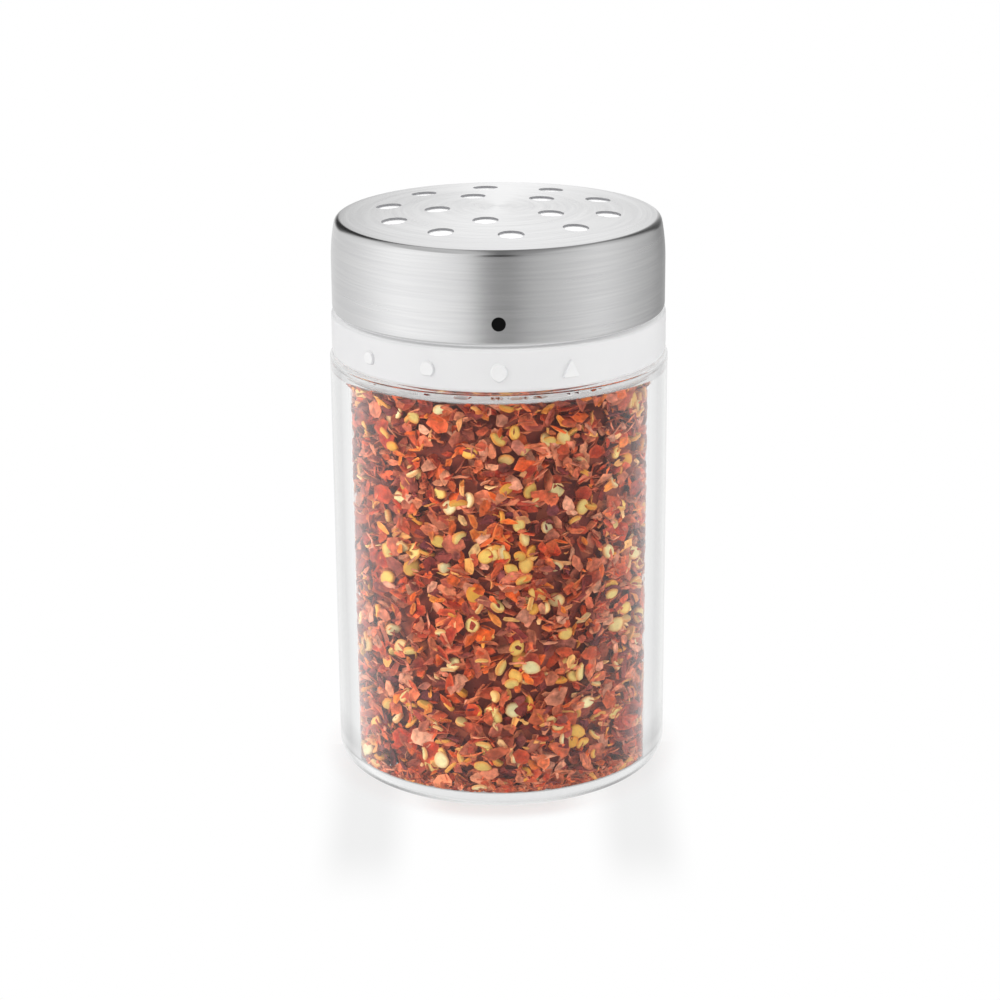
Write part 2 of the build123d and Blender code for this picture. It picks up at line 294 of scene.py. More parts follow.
def dome(radius, rise, low):
    """Points of a shallow dome from its rim at this radius in to the axis."""
    sphere = (radius**2 + rise**2) / (2 * rise)
    radii = [radius * (1 - i / DOME_STEPS) for i in range(DOME_STEPS + 1)]
    return [(r, low + rise - sphere + sqrt(sphere**2 - r**2)) for r in radii]


def split_run(low, high, step):
    """Heights between two heights, evenly spaced by about step."""
    count = max(1, ceil(abs(high - low) / step))
    return [low + (high - low) * i / count for i in range(count + 1)]


def bridge(first, second):
    """The quads between two closed loops of vertices."""
    following = [*range(1, len(first)), 0]
    return [[first[k], first[n], second[n], second[k]] for k, n in enumerate(following)]


def turned(points, shape=None, closed=True):
    """Vertices and faces of a section turned about Z. shape(angle, r, z, row) may move r."""
    angles = 2 * pi * np.arange(SEGMENTS) / SEGMENTS
    vertices, rings = [], []
    for row, (r, z) in enumerate(points):
        start = len(vertices)
        if r < 1e-6:
            vertices.append((0.0, 0.0, z))
            rings.append([start] * SEGMENTS)
            continue
        radii = np.full(SEGMENTS, r) if shape is None else shape(angles, r, z, row)
        ring = np.stack([radii * np.sin(angles), -radii * np.cos(angles), np.full(SEGMENTS, z)], 1)
        vertices.extend(map(tuple, ring))
        rings.append(list(range(start, start + SEGMENTS)))
    faces = []
    pairs = list(zip(rings, rings[1:])) + ([(rings[-1], rings[0])] if closed else [])
    for first, second in pairs:
        corners = [list(dict.fromkeys(face)) for face in bridge(first, second)]
        faces.extend(face for face in corners if len(face) > 2)
    return vertices, faces


def make_piece(name, vertices, faces, material, body, *nodes, weld=0.0):
    """A mesh object in metres from millimetre vertices, riding on its body. Points closer together
    than weld become one."""
    mesh = bpy.data.meshes.new(name)
    mesh.from_pydata((np.asarray(vertices, dtype=float) * MM).tolist(), [], faces)
    bm = bmesh.new()
    bm.from_mesh(mesh)
    if weld:
        bmesh.ops.remove_doubles(bm, verts=bm.verts, dist=weld * MM)
    bmesh.ops.recalc_face_normals(bm, faces=bm.faces)
    for face in bm.faces:
        face.smooth = True
    for edge in bm.edges:
        edge.smooth = edge.is_manifold and edge.calc_face_angle(0.0) < SHARP_ANGLE
    bm.to_mesh(mesh)
    bm.free()
    piece = add_object(name, mesh)
    mesh.materials.append(material)
    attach(piece, body)
    if nodes:
        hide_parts(*nodes)
    return piece


def thread_height(angles, z, low, high, half_width, shift):
    """How far a two-start right-hand thread stands out at these angles and this height."""
    stand = np.zeros_like(angles)
    turns = (high - low) / THREAD_LEAD
    for start in range(THREAD_STARTS):
        for wrap in (-1, 0, 1, 2):
            t = angles / (2 * pi) + wrap - start / THREAD_STARTS
            away = np.abs(z - (low + THREAD_LEAD * t + shift))
            crest = np.clip((half_width - away) / (half_width * THREAD_FLANK), 0, 1)
            ends = np.clip(np.minimum(t, turns - t) / THREAD_FADE, 0, 1)
            height = crest * crest * (3 - 2 * crest) * ends * ends * (3 - 2 * ends)
            stand = np.maximum(stand, height)
    return stand


def threaded(first, last, low, high, half_width, depth, shift=0.0):
    """A shape for turned() that carries a thread from row first up to row last."""
    def shape(angles, r, z, row):
        if not first <= row < last:
            return np.full_like(angles, r)
        return r + depth * thread_height(angles, z, low, high, half_width, shift)
    return shape


# Glass jar

def cavity_section():
    """The inside of the jar from its rim down to the middle of its floor."""
    ceiling = SHOULDER_HEIGHT - SHOULDER_GLASS
    inner = JAR_RADIUS - GLASS_WALL
    section = rounded([
        (BORE_RADIUS, RIM_HEIGHT - RIM_ROUNDING, 0),
        (BORE_RADIUS, ceiling + SHOULDER_SLOPE, THROAT_ROUNDING),
        (inner, ceiling, SHOULDER_INNER_ROUNDING),
        (inner, GLASS_FLOOR, FLOOR_ROUNDING),
        (PUSH_UP_RADIUS, GLASS_FLOOR, 0),
    ])
    return section[:-1] + dome(PUSH_UP_RADIUS, PUSH_UP_RISE, GLASS_FLOOR)


def glass_material():
    """Clear soda glass with the faint waves of pressed ware and a painted dark line round its heel,
    painted shadow and reflection. Lamps reach the contents through it, and a painted glow stands in
    for the light it pipes round inside itself."""
    n, where = new_material("clear_glass")
    stretched = n.add("Mapping", {"Vector": where, "Scale": (1, 1, 0.35)}).outputs[0]
    waves = n.noise(stretched, 55, detail=1.0)
    x, y, z = n.split(where)
    radius = n.length(n.join(x, y, 0.0))
    # Painted shadow and painted reflection: the glass's tint darkens in a line round the heel.
    aside = n.map_range(n.math("ABSOLUTE", x), *metres(*PAINTED_HEEL_ASIDE), PAINTED_HEEL_FAINT, 1.0, smooth=True)
    line = n.times(n.math("GREATER_THAN", radius, PAINTED_HEEL_RADIUS * MM), aside)
    shade = n.ramp(n.math("DIVIDE", z, PAINTED_HEEL_REACH * MM), PAINTED_HEEL_SHADE)
    tint = n.mix(line, GLASS_TINT, n.mix(1.0, GLASS_TINT, shade, "MULTIPLY"))
    glass = n.principled({
        "Base Color": tint,
        "Roughness": 0.0,
        "IOR": 1.5,
        "Transmission Weight": 1.0,
        "Specular Tint": grey(1.0),
        "Normal": n.bump(waves, 0.00012, 0.5),
    })
    path = n.add("LightPath").outputs
    inside = n.add("NewGeometry").outputs["Backfacing"]
    piped = n.times(n.math("MINIMUM", path["Glossy Depth"], 1.0), inside)
    heel = n.map_range(z, *metres(*HEEL_REACH), 1.0, 0.0, smooth=True)
    # Painted glow: emission where a mirrored ray meets the glass from inside.
    glow = n.emission(grey(1.0), n.map_range(heel, 0.0, 1.0, *PIPED_LEVEL))
    share = n.times(piped, n.map_range(heel, 0.0, 1.0, *PIPED_SHARE))
    passing = n.math("MAXIMUM", path["Is Shadow Ray"], path["Is Diffuse Ray"])
    clear = n.add("BsdfTransparent", {0: (0.97, 0.98, 0.978, 1)}).outputs[0]
    return n.output(n.blend(passing, n.blend(share, glass, glow), clear))


def make_jar():
    base = dome(PUSH_UP_RADIUS, PUSH_UP_RISE, 0)[::-1]
    lower = rounded([
        (PUSH_UP_RADIUS, 0, 0),
        (JAR_RADIUS, 0, HEEL_ROUNDING),
        (JAR_RADIUS, SHOULDER_HEIGHT, SHOULDER_ROUNDING),
        (NECK_RADIUS, SHOULDER_HEIGHT, NECK_ROOT_ROUNDING),
        (NECK_RADIUS, RIM_HEIGHT, 0),
    ])[1:-1]
    neck = [(NECK_RADIUS, z) for z in split_run(lower[-1][1], RIM_HEIGHT - RIM_ROUNDING, THREAD_ROW_STEP)]
    rim = rounded([
        (NECK_RADIUS, COLLAR_BOTTOM, 0),
        (NECK_RADIUS, RIM_HEIGHT, RIM_ROUNDING),
        (BORE_RADIUS, RIM_HEIGHT, RIM_ROUNDING),
        (BORE_RADIUS, COLLAR_BOTTOM, 0),
    ])[1:-1]
    points = base + lower + neck[1:-1] + rim + cavity_section()[1:]
    first = len(base) + len(lower)
    shape = threaded(first, first + len(neck) - 2, *NECK_THREAD)
    vertices, faces = turned(points, shape, closed=False)
    piece = make_piece("glass_jar_body", vertices, faces, glass_material(), "jar", "glass_jar")


# Chili flakes

def chili_material(name, roughness, mottle, relief):
    """Dried pepper skin: a tint for each flake, mottled and finely wrinkled."""
    n, where = new_material(name)
    tint = n.add("VertexColor", layer_name="tint").outputs[0]
    blotch = n.noise(where, 900, detail=3.0, roughness=0.6)
    fine = n.noise(where, 3200)
    shade = n.map_range(blotch, 0.3, 0.7, 1 - mottle, 1 + mottle)
    shades = n.join(shade, shade, shade)
    shaded = n.add("VectorMath", {0: tint, 1: shades}, operation="MULTIPLY").outputs[0]
    pale = n.map_range(fine, 0.6, 0.8, 0.0, 0.1)
    colour = n.mix(pale, shaded, srgb(226, 140, 80))
    rough = n.map_range(fine, 0.2, 0.8, roughness - 0.1, roughness + 0.12)
    return n.output(n.principled({
        "Base Color": colour,
        "Roughness": rough,
        "Specular IOR Level": 0.12,
        "Normal": n.bump(blotch, relief, 0.6),
    }))


def flake_template(outline, rings):
    """Unit disc as (ring share, angle, side) rows and triangles, closed with a thin edge."""
    rows, triangles = [], []
    for side in (1, -1):
        start = len(rows)
        rows.append((0.0, 0.0, side))
        for share in rings:
            rows.extend((share, 2 * pi * k / outline, side) for k in range(outline))
        for k in range(outline):
            n = (k + 1) % outline
            triangles.append((start, start + 1 + k, start + 1 + n)[::side])
            for ring in range(len(rings) - 1):
                a, b = start + 1 + ring * outline, start + 1 + (ring + 1) * outline
                triangles.append((a + k, b + k, b + n)[::side])
                triangles.append((a + k, b + n, a + n)[::side])
    top = 1 + (len(rings) - 1) * outline
    below = len(rows) // 2 + top
    for k in range(outline):
        n = (k + 1) % outline
        triangles.append((top + k, below + k, below + n))
        triangles.append((top + k, below + n, top + n))
    return np.array(rows), np.array(triangles)


def wall_radius(z):
    """The jar's inside radius at these heights."""
    inside = np.array(cavity_section()[::-1])
    inside = inside[inside[:, 0] >= BORE_RADIUS - 1e-6]
    return np.interp(z, inside[:, 1], inside[:, 0])


def soft_limit(value, limit, give):
    """Keeps values under a limit: what would pass it is pressed smoothly up against it."""
    start = limit - give
    over = np.maximum(value - start, 0)
    return np.where(value > start, limit - give * np.exp(-over / give), value)


def turned_out(rng, normals, spread):
    """Random turns whose third axis lies within a spread of the given normals."""
    third = normals + rng.normal(0, spread, normals.shape)
    third /= np.linalg.norm(third, axis=1, keepdims=True)
    first = np.cross(rng.normal(size=normals.shape), third)
    first /= np.linalg.norm(first, axis=1, keepdims=True)
    return np.stack([first, np.cross(third, first), third], 2)


def scatter(rng, count, shallow, deep, heights):
    """Places just inside the glass with the way out at each: over wall, floor and top, or where
    heights are given, over that part of the wall alone."""
    floor_share, top_share = (0.0, 0.0) if heights else (FLOOR_SHARE, TOP_SHARE)
    low, high = heights or (LOWEST_FLAKE, SHOULDER_HEIGHT - SHOULDER_GLASS)
    where = rng.random(count)
    angle = rng.uniform(0, 2 * pi, count)
    depth = rng.uniform(shallow, deep, count)
    z = rng.uniform(low, high, count)
    r = wall_radius(z) - depth
    out = np.stack([np.sin(angle), -np.cos(angle), np.zeros(count)], 1)
    for chosen, level, inwards, reach, evenness in (
        (where < floor_share, GLASS_FLOOR, 1, FLOOR_SPREAD, FLOOR_EVENNESS),
        (where > 1 - top_share, FILL_HEIGHT, -1, TOP_SPREAD, TOP_EVENNESS),
    ):
        z = np.where(chosen, level + inwards * depth, z)
        r = np.where(chosen, reach * rng.random(count) ** evenness, r)
        out[chosen] = (0, 0, -inwards)
    return np.stack([r * np.sin(angle), -r * np.cos(angle), z], 1), out


def press_into_jar(points):
    """Flattens flakes against the inside of the glass instead of letting them pass through it."""
    floor = GLASS_FLOOR + GLASS_GAP
    r = np.hypot(points[..., 0], points[..., 1])
    rise = PUSH_UP_RISE * np.clip(1 - (r / PUSH_UP_RADIUS) ** 2, 0, 1)
    z = -soft_limit(-points[..., 2], -(floor + rise), FLAT_GIVE)
    z = soft_limit(z, np.full_like(z, FILL_HEIGHT + HEAP), FLAT_GIVE)
    pressed = soft_limit(r, wall_radius(z) - GLASS_GAP, WALL_GIVE)
    scale = pressed / np.maximum(r, 1e-6)
    return np.stack([points[..., 0] * scale, points[..., 1] * scale, z], -1)


def flake_forms(rng, count, rows, look):
    """Points of flakes or seeds that lie flat about their own middles, no two alike."""
    share, angle, side = rows.T
    outline = len({round(a, 6) for a in angle[share > 0]})
    length = rng.uniform(*look["length"], count)
    width = length * rng.uniform(*look["slimness"], count)
    edge = rng.uniform(look["jag"], 1.0, (count, outline))
    step = np.round(angle / (2 * pi) * outline).astype(int) % outline
    reach = share[None] * np.where(share > 0, edge[:, step], 1.0)
    sway = rng.uniform(-look["sway"], look["sway"], (count, outline)) * 2 * pi / outline
    round_way = angle[None] + sway[:, step]
    x = reach * np.cos(round_way) * length[:, None] / 2
    y = reach * np.sin(round_way) * width[:, None] / 2
    thickness = rng.uniform(*look["thickness"], count)[:, None] / 2
    if "beak" in look:
        profile = np.interp(share, (0, *SEED_RINGS), (0.75, 0.85, 1.0, 0.35))
        z = side[None] * thickness * profile[None]
        x = x * (1 + look["beak"] * np.clip(np.cos(angle), 0, 1) ** 6)[None]
    else:
        curl = rng.normal(0, look["curl"], (count, 1))
        cross_curl = rng.normal(0, look["curl"] * 0.6, (count, 1))
        crumple = rng.normal(0, look["crumple"], (count, outline))
        z = curl * x**2 + cross_curl * y**2 + crumple[:, step] * share[None]
        z = z + side[None] * thickness * np.where(share < 1, 1.0, 0.55)[None]
    return np.stack([x, y, z], -1)


def flake_tints(rng, count, rows, look):
    """A linear colour for each point: two skins mixed for each flake, with its rim or its flesh."""
    share, _, side = rows.T
    palette = np.array([srgb(*c) for c in look["colours"]])
    picked = palette[rng.integers(0, len(palette), count)]
    other = palette[rng.integers(0, len(palette), count)]
    blend = rng.random((count, 1)) * 0.5
    tint = picked * (1 - blend) + other * blend
    tint[:, :3] *= rng.uniform(*look["shade"], (count, 1))
    colour = np.repeat(tint[:, None], len(rows), 1)
    if "rim" in look:
        weight = np.interp(share, SEED_RINGS, (0.0, 0.25, 0.7))[None, :, None]
        colour = colour * (1 - weight) + np.array(srgb(*look["rim"])) * weight
    if "flesh" in look:
        weight = np.where(side < 0, 0.5, np.where(share == 1, 0.18, 0.0))[None, :, None]
        colour = colour * (1 - weight) + np.array(srgb(*look["flesh"])) * weight
        colour[..., :3] *= rng.uniform(0.68, 1.32, (*colour.shape[:2], 1))
    return colour.astype(np.float32)


def build_flakes(name, rng, count, template, look, material):
    """A mesh of many separate closed flakes or seeds, each with its own tint."""
    rows, triangles = template
    forms = flake_forms(rng, count, rows, look)
    centres, out = scatter(rng, count, *look["depth"], look.get("heights"))
    lying = rng.random(count) < look["lying"]
    out[lying] = (0, 0, 1)
    turns = turned_out(rng, out, look["spread"])
    points = press_into_jar(np.einsum("nij,nvj->nvi", turns, forms) + centres[:, None])
    offsets = np.arange(count)[:, None, None] * len(rows)
    faces = (triangles[None] + offsets).reshape(-1, 3)
    mesh = bpy.data.meshes.new(name)
    mesh.from_pydata((points.reshape(-1, 3) * MM).tolist(), [], faces.tolist())
    mesh.polygons.foreach_set("use_smooth", np.full(len(faces), "beak" in look))
    layer = mesh.color_attributes.new("tint", "FLOAT_COLOR", "POINT")
    layer.data.foreach_set("color", flake_tints(rng, count, rows, look).ravel())
    mesh.materials.append(material)
    piece = add_object(name, mesh)
    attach(piece, "jar")
    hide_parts("chili_flakes")
    return piece


RED_SKINS = (
    (196, 60, 30), (212, 80, 34), (172, 50, 32), (206, 98, 62), (228, 94, 32), (216, 122, 86),
    (156, 58, 44), (188, 84, 62), (182, 48, 24), (206, 112, 80), (224, 142, 106), (164, 82, 70),
    (200, 70, 38), (144, 66, 58), (216, 88, 50), (234, 164, 130), (226, 152, 122),
)
DARK_SKINS = ((134, 52, 44), (120, 48, 46), (150, 62, 50), (112, 50, 54), (128, 42, 34), (142, 70, 66))
BRIGHT_FLESH = (
    (236, 118, 42), (242, 146, 60), (226, 100, 50), (240, 172, 96), (232, 88, 30), (246, 196, 140),
)
SEED_HUSKS = ((252, 222, 138), (248, 204, 104), (243, 176, 70), (252, 238, 182))

# Lengths, thicknesses, crumple and depths behind the glass are in millimetres. jag is the least
# reach of an outline, sway its shift round, beak a seed's pointed end, lying the share that lies
# flat, spread how far flakes lean out of true, and rim and flesh the tints of edge and inside.
FLAKES = {
    "length": (1.9, 5.4), "slimness": (0.4, 0.9), "thickness": (0.14, 0.32), "jag": 0.66, "sway": 0.35,
    "curl": 0.06, "crumple": 0.14, "spread": 0.4, "lying": 0.25, "depth": (0.1, 1.2),
    "shade": (0.75, 1.2), "colours": RED_SKINS, "flesh": (232, 132, 84),
}
DARK_FLAKES = dict(FLAKES, colours=DARK_SKINS, depth=(0.2, 1.6), lying=0.35, flesh=(130, 50, 38))
SHREDS = dict(FLAKES, length=(1.4, 4.6), slimness=(0.2, 0.6), curl=0.12, colours=BRIGHT_FLESH,
              flesh=(252, 190, 110), depth=(0.1, 1.4))
DEEP_FLAKES = dict(FLAKES, depth=(1.0, 2.6), colours=RED_SKINS + DARK_SKINS, spread=0.6)
CRUMBS = dict(FLAKES, length=(1.0, 2.4), depth=(0.1, 1.6), colours=RED_SKINS + DARK_SKINS,
              heights=(GLASS_FLOOR + 0.1, GLASS_FLOOR + 1.3))
SEEDS = {
    "length": (2.5, 3.2), "slimness": (0.8, 0.98), "thickness": (0.55, 0.85), "jag": 0.93,
    "sway": 0.0, "beak": 0.22, "spread": 0.5, "lying": 0.2, "depth": (0.35, 1.5), "shade": (0.8, 1.08),
    "colours": SEED_HUSKS, "rim": (226, 122, 44),
}


def make_chili():
    """Flakes and seeds behind the glass, round a core that fills the rest."""
    rng = np.random.default_rng(SEED)
    thin = 1.0
    fine = flake_template(7, (0.55, 1.0))
    coarse = flake_template(7, (1.0,))
    seed = flake_template(12, SEED_RINGS)
    skin = chili_material("chili_skin", 0.46, 0.42, 0.00026)
    flesh = chili_material("chili_flesh", 0.55, 0.22, 0.00018)
    husk = chili_material("chili_seed_husk", 0.5, 0.12, 0.00008)
    jobs = (
        ("chili_flakes_red", 3300, fine, FLAKES, skin),
        ("chili_flakes_dark", 700, fine, DARK_FLAKES, skin),
        ("chili_flakes_bright", 1250, fine, SHREDS, flesh),
        ("chili_flakes_deep", 4200, coarse, DEEP_FLAKES, skin),
        ("chili_seeds", 720, seed, SEEDS, husk),
        ("chili_crumbs", 1600, coarse, CRUMBS, skin),
    )
    pieces = [build_flakes(name, rng, int(count * thin), template, look, material)
              for name, count, template, look, material in jobs]
    low, high = GLASS_FLOOR + CORE_FLOOR, SHOULDER_HEIGHT - SHOULDER_GLASS - CORE_DEPTH
    outer = JAR_RADIUS - GLASS_WALL - CORE_DEPTH
    profile = [(0, high), (outer - CORE_DEPTH, high), (outer, high - CORE_DEPTH),
               (outer, low + CORE_FLOOR), (outer - CORE_FLOOR, low), (0, low)]
    vertices, faces = turned(profile, closed=False)
    core = make_piece("chili_core", vertices, faces, core_material(), "jar", "chili_flakes")
    return [*pieces, core]


def core_material():
    """What shows in the gaps between flakes: more flakes in deep shade."""
    n, where = new_material("chili_core")
    lumps = n.add("TexVoronoi", {"Vector": where, "Scale": 420.0}).outputs["Color"]
    tone = n.add("SeparateColor", {0: lumps}).outputs[0]
    colour = n.ramp(tone, [
        (0.0, srgb(124, 54, 46)), (0.5, srgb(152, 68, 52)), (1.0, srgb(178, 90, 62)),
    ])
    return n.output(n.principled({"Base Color": colour, "Roughness": 0.8}))


# White collar

def plastic_material(name, glow_low, glow_high, glow):
    """Satin white moulded plastic with a fine spark-eroded grain. Light bleeds through it, and a
    painted glow stands in for it from one height on, in full from another, lifting the shade there."""
    n, where = new_material(name)
    grain = n.noise(where, 6000)
    cloud = n.noise(where, 60)
    height = n.split(where)[2]
    return n.output(n.principled({
        "Base Color": n.ramp(cloud, [(0.3, srgb(240, 240, 241)), (0.7, srgb(245, 245, 245))]),
        "Roughness": n.map_range(grain, 0.2, 0.8, 0.34, 0.46),
        "IOR": 1.46,
        "Normal": n.bump(grain, 0.00002, 0.25),
        # Painted glow: emission from a height on, lit by no lamp.
        "Emission Color": grey(1.0),
        "Emission Strength": n.map_range(height, *metres(glow_low, glow_high), 0.0, glow),
    }))


def make_collar(material):
    outside = rounded([
        (GROOVE_OUTER, COLLAR_BOTTOM, 0),
        (COLLAR_RADIUS, COLLAR_BOTTOM, COLLAR_FOOT_ROUNDING),
        (COLLAR_RADIUS, COLLAR_TOP, COLLAR_TOP_ROUNDING),
        (HUB_RADIUS, COLLAR_TOP, 0),
        (HUB_RADIUS, SNAP_RIB_LOW, 0),
        (SNAP_RIB_RADIUS, SNAP_RIB_LOW, 0),
        (SNAP_RIB_RADIUS, SNAP_RIB_HIGH, 0),
        (HUB_RADIUS, SNAP_RIB_HIGH + SNAP_RIB_RADIUS - HUB_RADIUS, 0),
        (HUB_RADIUS, FLANGE_HIGH, 0),
        (DRUM_RADIUS, FLANGE_HIGH, 0),
        (DRUM_RADIUS, DRUM_TOP, 0),
        (DRUM_INNER, DRUM_TOP, 0),
        (DRUM_INNER, FLANGE_HIGH, 0),
        (FLANGE_OPENING, FLANGE_HIGH, 0),
        (FLANGE_OPENING, FLANGE_LOW, 0),
    ])
    inside = [(THREAD_BORE_RADIUS, z) for z in split_run(FLANGE_LOW, WALL_FOOT, THREAD_ROW_STEP)]
    groove = [(GROOVE_INNER, WALL_FOOT), (GROOVE_INNER, GROOVE_TOP), (GROOVE_OUTER, GROOVE_TOP)]
    rows = len(outside) + 1, len(outside) + len(inside) - 1
    shape = threaded(*rows, *COLLAR_THREAD, COLLAR_THREAD_SHIFT)
    vertices, faces = turned(outside + inside + groove, shape)
    piece = make_piece("screw_collar", vertices, faces, material, "lid", "threaded_collar")


def mark_outlines():
    """The raised signs along the collar with their steps: two discs cut flat at the foot, one that
    droops to a slight point, and a triangle."""
    outlines = []
    for step, width, foot, droop in MARK_DISCS:
        disc = []
        for k in range(MARK_SEGMENTS):
            a = 2 * pi * k / MARK_SEGMENTS
            v = width / 2 * sin(a) * MARK_TALLNESS - droop * max(0.0, -sin(a)) ** 8
            disc.append((width / 2 * cos(a), max(v, -foot)))
        outlines.append((step, disc))
    step, half, foot, tip, rounding = MARK_TRIANGLE
    corners = [(half, foot, rounding), (0, tip, rounding), (-half, foot, rounding)]
    triangle = []
    for i in range(len(corners)):
        before, after = corners[i - 1], corners[(i + 1) % len(corners)]
        triangle.extend(rounded([(*before[:2], 0), corners[i], (*after[:2], 0)])[1:-1])
    return [*outlines, (step, triangle[::-1])]


def make_marks(side_material, painted_light_face_material, painted_shade_material):
    """Each sign is a low raised pad of its own, wrapped round the collar's band. Its face is painted
    lighter and its right and lower sides carry painted shade, as if lit from the upper left."""
    for number, (step, outline) in enumerate(mark_outlines(), 1):
        count = len(outline)
        centre = [sum(values) / count for values in zip(*outline)]
        size = max(max(abs(u - centre[0]), abs(v - centre[1])) for u, v in outline)
        vertices = []
        for inset, height in ((0, -MARK_SINK), (0, MARK_HEIGHT - MARK_BEVEL), (MARK_BEVEL, MARK_HEIGHT)):
            share = 1 - inset / size
            for u, v in outline:
                a = step * MARK_PITCH + (centre[0] + (u - centre[0]) * share) / COLLAR_RADIUS
                r = COLLAR_RADIUS + height
                z = MARK_CENTRE + centre[1] + (v - centre[1]) * share
                vertices.append((r * sin(a), -r * cos(a), z))
        sunk, side, top = (list(range(ring * count, (ring + 1) * count)) for ring in range(3))
        faces = [*bridge(sunk, side), *bridge(side, top), top, sunk[::-1]]
        piece = make_piece(f"collar_mark_{number}", vertices, faces, side_material, "lid")
        piece.data.materials.append(painted_light_face_material)
        piece.data.materials.append(painted_shade_material)
        # Painted highlight: the pad's face takes a lighter white.
        piece.data.polygons[2 * count].material_index = 1
        for k in range(count):
            (u, v), (un, vn) = outline[k], outline[(k + 1) % count]
            # Painted shade on the sides that face right and down.
            if (vn - v) + (un - u) > 0:
                for ring in (0, count):
                    piece.data.polygons[ring + k].material_index = 2


# Steel cap

def steel_material():
    """Stainless steel brushed in rings round the cap's axis, smoother on the fold."""
    n, where = new_material("brushed_steel")
    x, y, z = n.split(where)
    flat = n.join(x, y, 0.0)
    way = n.add("VectorMath", {0: flat}, operation="NORMALIZE").outputs[0]
    across = n.math("ADD", n.length(flat), z)
    way_x, way_y, _ = n.split(way)
    change = [n.times(part, BRUSH_CHANGE) for part in (way_x, way_y)]
    lines = n.noise(n.join(*change, n.times(across, BRUSH_LINES)), 1.0, detail=1.5, roughness=0.6)
    bands = n.noise(n.join(way_x, way_y, n.times(across, BRUSH_BANDS)), 1.0)
    upright = n.split(n.add("TexCoord").outputs["Normal"])[2]
    folded = n.times(n.map_range(upright, *FOLD_FOOT, smooth=True),
                    n.map_range(upright, *FOLD_EDGE, smooth=True))
    polish = n.map_range(folded, 0.0, 1.0, 1.0, FOLD_POLISH)
    return n.output(n.principled({
        "Base Color": n.ramp(lines, [(0.25, srgb(232, 232, 233)), (0.75, srgb(242, 242, 242))]),
        "Metallic": 1.0,
        "Roughness": n.times(n.map_range(bands, 0.25, 0.75, 0.22, 0.28), polish),
        "Anisotropic": 0.75,
        "Tangent": n.add("Tangent", direction_type="RADIAL", axis="Z").outputs[0],
        "Normal": n.bump(lines, 0.00001, 0.03),
    }))


def crown_height(r, inset=0.0):
    """Height of the cap's crown at this radius, drawn in by inset."""
    return CAP_TOP - CROWN_SPHERE + sqrt((CROWN_SPHERE - inset) ** 2 - r**2)


def fold_centre():
    """Middle of the rounding between crown and wall, and its tilt from upright at both ends."""
    crown = Vector((0, CAP_TOP - CROWN_SPHERE))
    bow = Vector((CAP_RADIUS - WALL_BOW_RADIUS, WALL_BOW_LOW))
    crown_arm, bow_arm = CROWN_SPHERE - CAP_FOLD, WALL_BOW_RADIUS - CAP_FOLD
    gap = bow - crown
    along = (crown_arm**2 - bow_arm**2 + gap.length_squared) / (2 * gap.length)
    aside = sqrt(crown_arm**2 - along**2)
    way = gap.normalized()
    centre = crown + way * along + Vector((-way.y, way.x)) * -aside
    tilts = [atan2(arm.x, arm.y) for arm in (centre - crown, centre - bow)]
    return centre, tilts


def upper_wall(inset):
    """The cap's section from the crown's edge over the fold and down the bowed wall."""
    centre, (crown_tilt, bow_tilt) = fold_centre()
    edge = centre.x + CAP_FOLD * sin(crown_tilt)
    points = [(edge, crown_height(edge, inset))]
    for k in range(1, FOLD_STEPS + 1):
        a = crown_tilt + (bow_tilt - crown_tilt) * k / FOLD_STEPS
        points.append((centre.x + (CAP_FOLD - inset) * sin(a), centre.y + (CAP_FOLD - inset) * cos(a)))
    for k in range(1, FOLD_STEPS):
        a = bow_tilt + (pi / 2 - bow_tilt) * k / FOLD_STEPS
        reach = WALL_BOW_RADIUS - inset
        points.append((CAP_RADIUS - WALL_BOW_RADIUS + reach * sin(a), WALL_BOW_LOW + reach * cos(a)))
    return points


def hole_centres():
    centres = []
    for ring, count, first in ((OUTER_RING, OUTER_COUNT, OUTER_FIRST),
                               (INNER_RING, INNER_COUNT, INNER_FIRST)):
        for k in range(count):
            a = first + 2 * pi * k / count
            centres.append((ring * sin(a), -ring * cos(a)))
    return centres


def circle(x, y, radius, count):
    """Points round a circle, from its front to the right."""
    angles = [2 * pi * k / count for k in range(count)]
    return [(x + radius * sin(a), y - radius * cos(a)) for a in angles]


def perforated(radius, holes, hole_radius):
    """A flat round sheet with round holes as 2-D points, triangles and the holes' rings."""
    points = circle(0, 0, radius, SEGMENTS)
    loops = [list(range(SEGMENTS))]
    for x, y in holes:
        start = len(points)
        loops.append(list(range(start, start + HOLE_SEGMENTS)))
        for reach in (hole_radius, hole_radius + HOLE_BAND):
            points.extend(circle(x, y, reach, HOLE_SEGMENTS))
    for row in range(int((radius - CROWN_GRID) / CROWN_GRID) + 1):
        r = row * CROWN_GRID
        count = max(1, round(2 * pi * r / CROWN_GRID))
        for k in range(count):
            a = 2 * pi * (k + 0.5 * (row % 2)) / count
            x, y = r * sin(a), -r * cos(a)
            if min((x - hx) ** 2 + (y - hy) ** 2 for hx, hy in holes) > (hole_radius + HOLE_CLEAR) ** 2:
                points.append((x, y))
    edges = [edge for loop in loops for edge in zip(loop, loop[1:] + loop[:1])]
    made = geometry.delaunay_2d_cdt([Vector(p) for p in points], edges, [], 0, 1e-6)
    kept = []
    for triangle in made[2]:
        middle = sum((made[0][i] for i in triangle), Vector((0, 0))) / 3
        if min((middle - Vector(h)).length for h in holes) > hole_radius * INSIDE_HOLE:
            kept.append(tuple(triangle))
    if len(made[0]) != len(points):
        raise ValueError("the crown's points did not all survive")
    return points, kept, loops[1:]


